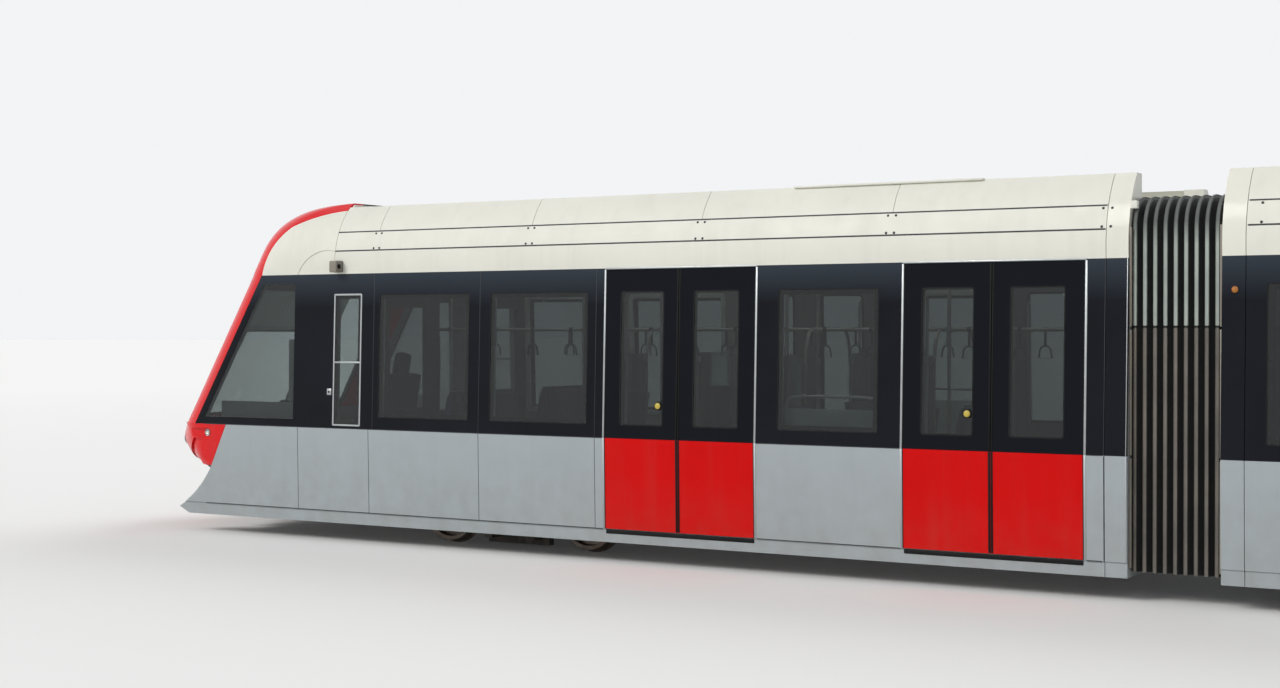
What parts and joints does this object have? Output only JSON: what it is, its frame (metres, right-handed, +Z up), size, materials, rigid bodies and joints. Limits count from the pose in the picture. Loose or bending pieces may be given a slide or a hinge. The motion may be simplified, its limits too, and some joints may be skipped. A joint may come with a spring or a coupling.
{
  "type": "tram",
  "caption": "Articulated low-floor tram with a rounded cab at each end, bellows gangways, plug doors, swivelling bogies and a roof pantograph.",
  "frame": {"origin": "under the middle of the centre section, level with the lowest point of the wheel flanges", "axes": "+X runs along the tram towards the end with section b, +Y runs across it, +Z is up"},
  "size_m": [32.5088, 2.7604, 3.4769],
  "materials": {
    "body_paint": "satin",
    "floor_frame": "matte",
    "roof_deck": "satin",
    "roof_cover": "gloss",
    "front_mask": "gloss",
    "hood_paint": "gloss",
    "glass": "clear",
    "door_paint": "gloss",
    "seat_shell": "matte",
    "grab_pole": "satin",
    "cab_trim": "matte",
    "equipment_case": "satin",
    "cast_gear": "matte",
    "lamp_lens": "clear",
    "fold_rubber": "matte",
    "bogie_paint": "matte",
    "wheel_steel": "machined",
    "panto_paint": "satin",
    "panto_carbon": "matte"
  },
  "bodies": {
    "car_c": {"car_c_shell": "body_paint", "car_c_floor": "floor_frame", "car_c_roof": "roof_deck", "car_c_fairings": "roof_cover", "car_c_glass": "glass", "car_c_doors": "door_paint", "car_c_seats": "seat_shell", "car_c_poles": "grab_pole", "car_c_roof_gear": "equipment_case", "bellows_a": "fold_rubber", "bellows_b": "fold_rubber", "panto_frame": "panto_paint"},
    "car_a": {"car_a_shell": "body_paint", "car_a_floor": "floor_frame", "car_a_roof": "roof_deck", "car_a_fairings": "roof_cover", "car_a_mask": "front_mask", "car_a_hood": "hood_paint", "car_a_windscreen": "glass", "car_a_glass": "glass", "car_a_doors": "door_paint", "car_a_seats": "seat_shell", "car_a_poles": "grab_pole", "car_a_cab": "cab_trim", "car_a_roof_gear": "equipment_case", "car_a_coupler": "cast_gear", "car_a_lamps": "lamp_lens"},
    "car_b": {"car_b_shell": "body_paint", "car_b_floor": "floor_frame", "car_b_roof": "roof_deck", "car_b_fairings": "roof_cover", "car_b_mask": "front_mask", "car_b_hood": "hood_paint", "car_b_windscreen": "glass", "car_b_glass": "glass", "car_b_doors": "door_paint", "car_b_seats": "seat_shell", "car_b_poles": "grab_pole", "car_b_cab": "cab_trim", "car_b_roof_gear": "equipment_case", "car_b_coupler": "cast_gear", "car_b_lamps": "lamp_lens"},
    "bogie_1": {"bogie_1_frame": "bogie_paint"},
    "bogie_2": {"bogie_2_frame": "bogie_paint"},
    "bogie_3": {"bogie_3_frame": "bogie_paint"},
    "bogie_4": {"bogie_4_frame": "bogie_paint"},
    "wheelset_1": {"wheelset_1": "wheel_steel"},
    "wheelset_2": {"wheelset_2": "wheel_steel"},
    "wheelset_3": {"wheelset_3": "wheel_steel"},
    "wheelset_4": {"wheelset_4": "wheel_steel"},
    "wheelset_5": {"wheelset_5": "wheel_steel"},
    "wheelset_6": {"wheelset_6": "wheel_steel"},
    "wheelset_7": {"wheelset_7": "wheel_steel"},
    "wheelset_8": {"wheelset_8": "wheel_steel"},
    "panto_lower": {"panto_lower_arm": "panto_paint"},
    "panto_upper": {"panto_upper_arm": "panto_paint"},
    "panto_rod": {"panto_rod": "panto_paint"},
    "panto_head": {"panto_head": "panto_carbon"}
  },
  "joints": [
    {"name": "articulation_a", "type": "hinge", "parent": "car_c", "child": "car_a", "pos_m": [-5.35, 0, 0.29], "axis": [0, 0, 1], "range_deg": [-12, 12], "deforming": ["bellows_a"]},
    {"name": "articulation_b", "type": "hinge", "parent": "car_c", "child": "car_b", "pos_m": [5.35, 0, 0.29], "axis": [0, 0, 1], "range_deg": [-12, 12], "deforming": ["bellows_b"]},
    {"name": "bogie_1_swing", "type": "hinge", "parent": "car_a", "child": "bogie_1", "pos_m": [-11.7, 0, 0.35], "axis": [0, 0, 1], "range_deg": [-4, 4]},
    {"name": "bogie_2_swing", "type": "hinge", "parent": "car_c", "child": "bogie_2", "pos_m": [-3.62, 0, 0.35], "axis": [0, 0, 1], "range_deg": [-4, 4]},
    {"name": "bogie_3_swing", "type": "hinge", "parent": "car_c", "child": "bogie_3", "pos_m": [3.62, 0, 0.35], "axis": [0, 0, 1], "range_deg": [-4, 4]},
    {"name": "bogie_4_swing", "type": "hinge", "parent": "car_b", "child": "bogie_4", "pos_m": [11.7, 0, 0.35], "axis": [0, 0, 1], "range_deg": [-4, 4]},
    {"name": "wheelset_1_spin", "type": "hinge", "parent": "bogie_1", "child": "wheelset_1", "pos_m": [-12.5, 0, 0.32], "axis": [0, 1, 0], "continuous": true},
    {"name": "wheelset_2_spin", "type": "hinge", "parent": "bogie_1", "child": "wheelset_2", "pos_m": [-10.9, 0, 0.32], "axis": [0, 1, 0], "continuous": true},
    {"name": "wheelset_3_spin", "type": "hinge", "parent": "bogie_2", "child": "wheelset_3", "pos_m": [-4.42, 0, 0.32], "axis": [0, 1, 0], "continuous": true},
    {"name": "wheelset_4_spin", "type": "hinge", "parent": "bogie_2", "child": "wheelset_4", "pos_m": [-2.82, 0, 0.32], "axis": [0, 1, 0], "continuous": true},
    {"name": "wheelset_5_spin", "type": "hinge", "parent": "bogie_3", "child": "wheelset_5", "pos_m": [2.82, 0, 0.32], "axis": [0, 1, 0], "continuous": true},
    {"name": "wheelset_6_spin", "type": "hinge", "parent": "bogie_3", "child": "wheelset_6", "pos_m": [4.42, 0, 0.32], "axis": [0, 1, 0], "continuous": true},
    {"name": "wheelset_7_spin", "type": "hinge", "parent": "bogie_4", "child": "wheelset_7", "pos_m": [10.9, 0, 0.32], "axis": [0, 1, 0], "continuous": true},
    {"name": "wheelset_8_spin", "type": "hinge", "parent": "bogie_4", "child": "wheelset_8", "pos_m": [12.5, 0, 0.32], "axis": [0, 1, 0], "continuous": true},
    {"name": "panto_raise", "type": "hinge", "parent": "car_c", "child": "panto_lower", "pos_m": [0.6, 0, 3.08], "axis": [0, 1, 0], "range_deg": [0, 50]},
    {"name": "panto_elbow", "type": "hinge", "parent": "panto_lower", "child": "panto_upper", "pos_m": [-0.89635, 0, 3.18463], "axis": [0, 1, 0], "range_deg": [-94, 0]},
    {"name": "panto_head_level", "type": "hinge", "parent": "panto_upper", "child": "panto_head", "pos_m": [0.85054, 0, 3.39912], "axis": [0, 1, 0], "range_deg": [0, 44]},
    {"name": "panto_rod_swing", "type": "hinge", "parent": "car_c", "child": "panto_rod", "pos_m": [0.46, 0, 2.985], "axis": [0, 1, 0], "range_deg": [0, 55]}
  ],
  "couplings": [
    {"joint": "panto_elbow", "follows": "panto_raise", "ratio": -1.86},
    {"joint": "panto_head_level", "follows": "panto_raise", "ratio": 0.86},
    {"joint": "panto_rod_swing", "follows": "panto_raise", "ratio": 1.07}
  ]
}
